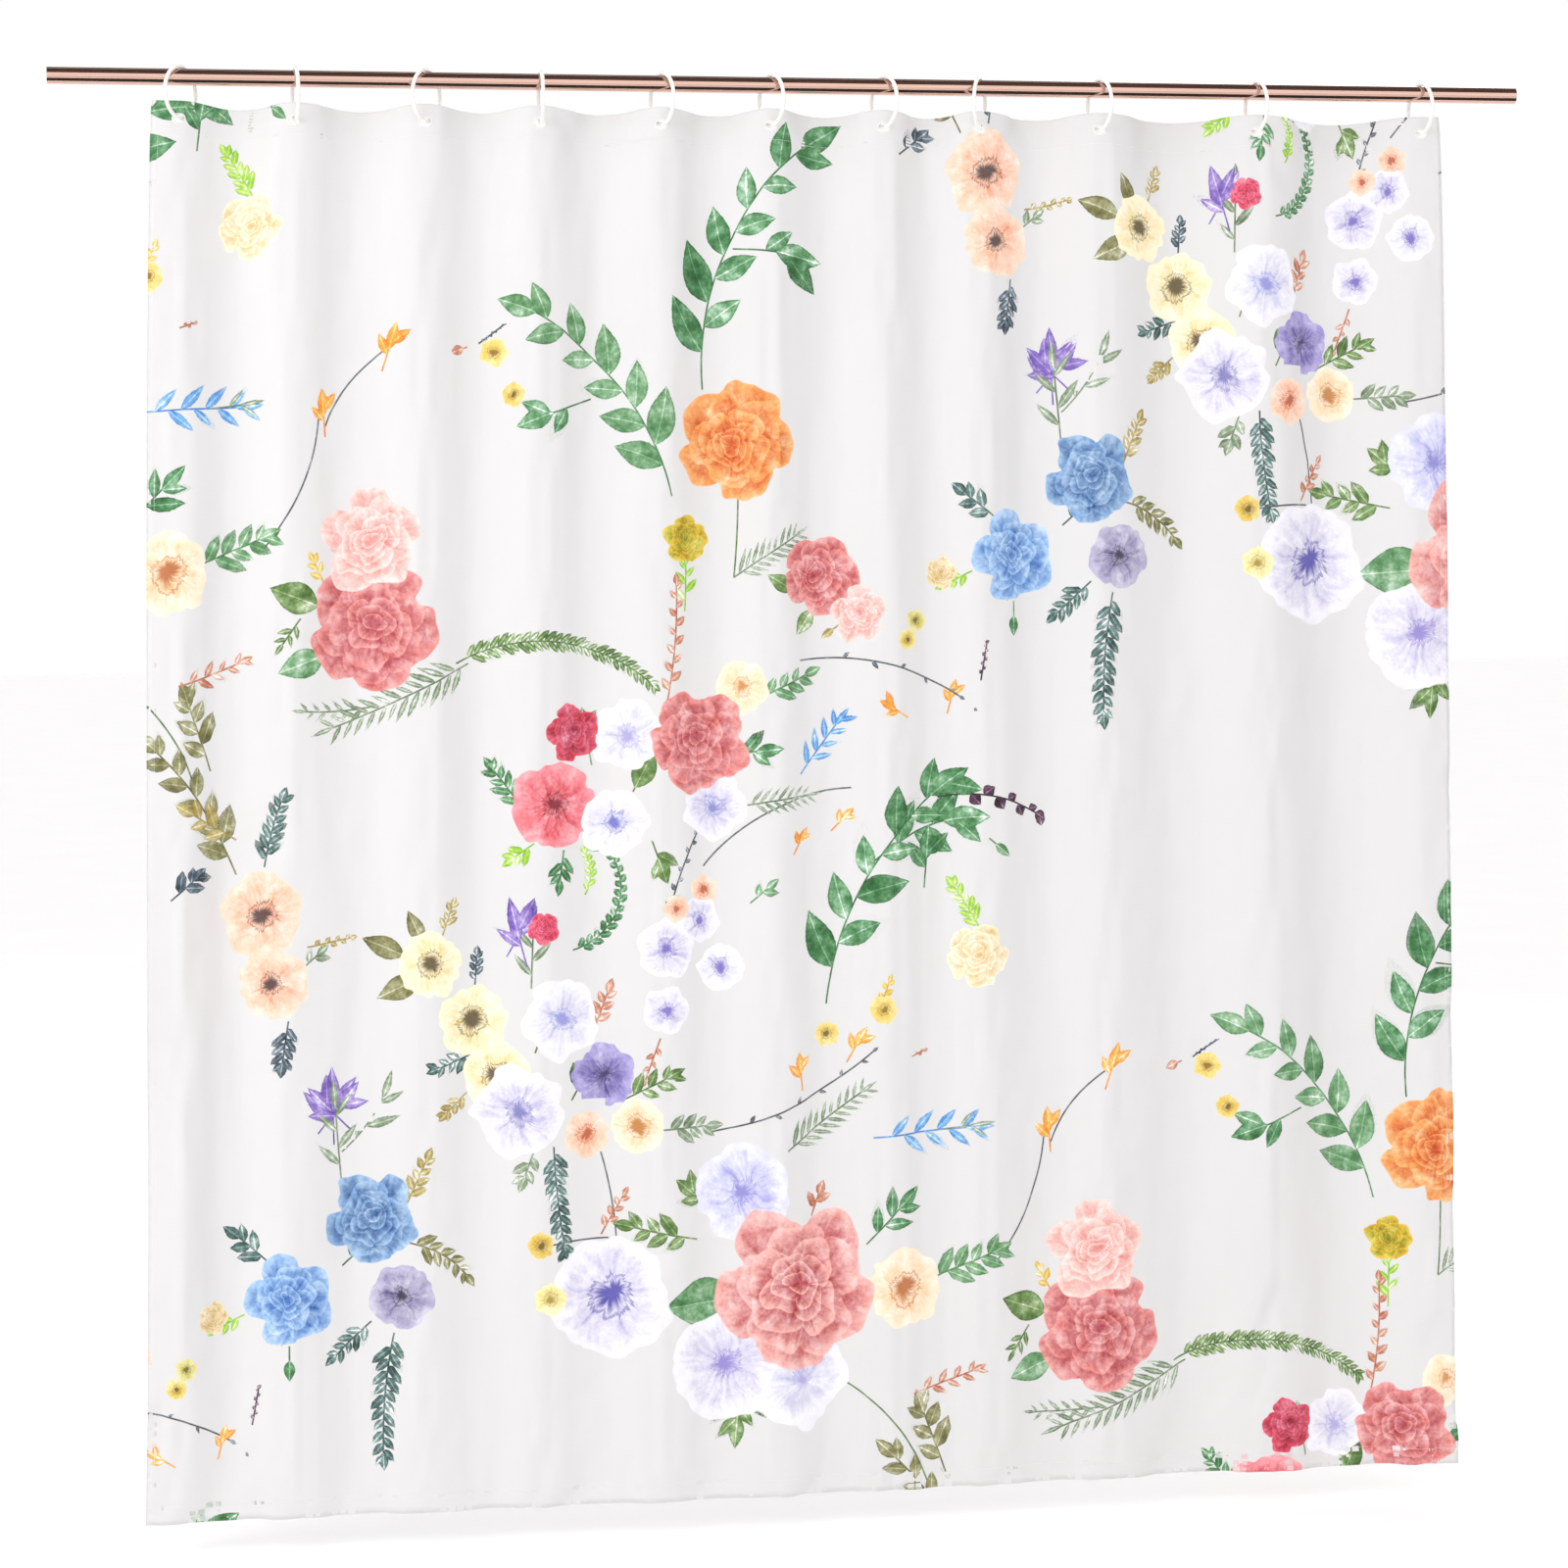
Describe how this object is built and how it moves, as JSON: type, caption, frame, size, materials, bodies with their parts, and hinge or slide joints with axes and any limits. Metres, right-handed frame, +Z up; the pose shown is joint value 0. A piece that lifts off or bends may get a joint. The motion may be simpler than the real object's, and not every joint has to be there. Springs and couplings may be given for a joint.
{
  "type": "shower curtain",
  "caption": "Flat polyester shower curtain with a painted-flower print, hung from a straight metal rod by plastic snap rings that slide along it.",
  "frame": {"origin": "middle of the rod's axis, halfway between its two ends", "axes": "+X along the rod to the right of someone facing the curtain, -Y towards them, +Z up; the curtain hangs down along -Z"},
  "size_m": [1.931, 0.07, 1.8761],
  "materials": {
    "rose_gold_metal": "polished rose-gold plate on steel tube",
    "white_plastic": "moulded, smooth",
    "printed_polyester": "smooth woven polyester, digitally printed with flowers",
    "white_thread": "polyester sewing thread"
  },
  "bodies": {
    "rod": {"rod_tube": "rose_gold_metal"},
    "hung_curtain": {"ring_01": "white_plastic", "curtain_panel": "printed_polyester", "top_hem": "printed_polyester", "bottom_hem": "printed_polyester", "left_hem": "printed_polyester", "right_hem": "printed_polyester", "top_hem_seam": "white_thread", "bottom_hem_seam": "white_thread", "left_hem_seam": "white_thread", "right_hem_seam": "white_thread", "buttonhole_stitching_01": "white_thread", "buttonhole_stitching_02": "white_thread", "buttonhole_stitching_03": "white_thread", "buttonhole_stitching_04": "white_thread", "buttonhole_stitching_05": "white_thread", "buttonhole_stitching_06": "white_thread", "buttonhole_stitching_07": "white_thread", "buttonhole_stitching_08": "white_thread", "buttonhole_stitching_09": "white_thread", "buttonhole_stitching_10": "white_thread", "buttonhole_stitching_11": "white_thread"},
    "ring_02_slider": {"ring_02": "white_plastic"},
    "ring_03_slider": {"ring_03": "white_plastic"},
    "ring_04_slider": {"ring_04": "white_plastic"},
    "ring_05_slider": {"ring_05": "white_plastic"},
    "ring_06_slider": {"ring_06": "white_plastic"},
    "ring_07_slider": {"ring_07": "white_plastic"},
    "ring_08_slider": {"ring_08": "white_plastic"},
    "ring_09_slider": {"ring_09": "white_plastic"},
    "ring_10_slider": {"ring_10": "white_plastic"},
    "ring_11_slider": {"ring_11": "white_plastic"}
  },
  "joints": [
    {"name": "curtain_swing", "type": "hinge", "parent": "rod", "child": "hung_curtain", "pos_m": [0, 0, 0], "axis": [1, 0, 0], "range_deg": [-20, 20]},
    {"name": "ring_02_slide", "type": "slide", "parent": "hung_curtain", "child": "ring_02_slider", "axis": [-1, 0, 0], "range_m": [0, 0.11026]},
    {"name": "ring_03_slide", "type": "slide", "parent": "hung_curtain", "child": "ring_03_slider", "axis": [-1, 0, 0], "range_m": [0, 0.2294]},
    {"name": "ring_04_slide", "type": "slide", "parent": "hung_curtain", "child": "ring_04_slider", "axis": [-1, 0, 0], "range_m": [0, 0.34114]},
    {"name": "ring_05_slide", "type": "slide", "parent": "hung_curtain", "child": "ring_05_slider", "axis": [-1, 0, 0], "range_m": [0, 0.4588]},
    {"name": "ring_06_slide", "type": "slide", "parent": "hung_curtain", "child": "ring_06_slider", "axis": [-1, 0, 0], "range_m": [0, 0.56462]},
    {"name": "ring_07_slide", "type": "slide", "parent": "hung_curtain", "child": "ring_07_slider", "axis": [-1, 0, 0], "range_m": [0, 0.67488]},
    {"name": "ring_08_slide", "type": "slide", "parent": "hung_curtain", "child": "ring_08_slider", "axis": [-1, 0, 0], "range_m": [0, 0.76516]},
    {"name": "ring_09_slide", "type": "slide", "parent": "hung_curtain", "child": "ring_09_slider", "axis": [-1, 0, 0], "range_m": [0, 0.888]},
    {"name": "ring_10_slide", "type": "slide", "parent": "hung_curtain", "child": "ring_10_slider", "axis": [-1, 0, 0], "range_m": [0, 1.04562]},
    {"name": "curtain_draw", "type": "slide", "parent": "hung_curtain", "child": "ring_11_slider", "axis": [-1, 0, 0], "range_m": [0, 1.2136], "deforming": ["curtain_panel", "top_hem", "bottom_hem", "left_hem", "right_hem", "top_hem_seam", "bottom_hem_seam", "left_hem_seam", "right_hem_seam", "buttonhole_stitching_01", "buttonhole_stitching_02", "buttonhole_stitching_03", "buttonhole_stitching_04", "buttonhole_stitching_05", "buttonhole_stitching_06", "buttonhole_stitching_07", "buttonhole_stitching_08", "buttonhole_stitching_09", "buttonhole_stitching_10", "buttonhole_stitching_11"]}
  ],
  "couplings": [
    {"joint": "ring_02_slide", "follows": "curtain_draw", "ratio": 0.090854},
    {"joint": "ring_03_slide", "follows": "curtain_draw", "ratio": 0.18902},
    {"joint": "ring_04_slide", "follows": "curtain_draw", "ratio": 0.2811},
    {"joint": "ring_05_slide", "follows": "curtain_draw", "ratio": 0.37805},
    {"joint": "ring_06_slide", "follows": "curtain_draw", "ratio": 0.46524},
    {"joint": "ring_07_slide", "follows": "curtain_draw", "ratio": 0.5561},
    {"joint": "ring_08_slide", "follows": "curtain_draw", "ratio": 0.63049},
    {"joint": "ring_09_slide", "follows": "curtain_draw", "ratio": 0.73171},
    {"joint": "ring_10_slide", "follows": "curtain_draw", "ratio": 0.86159}
  ]
}
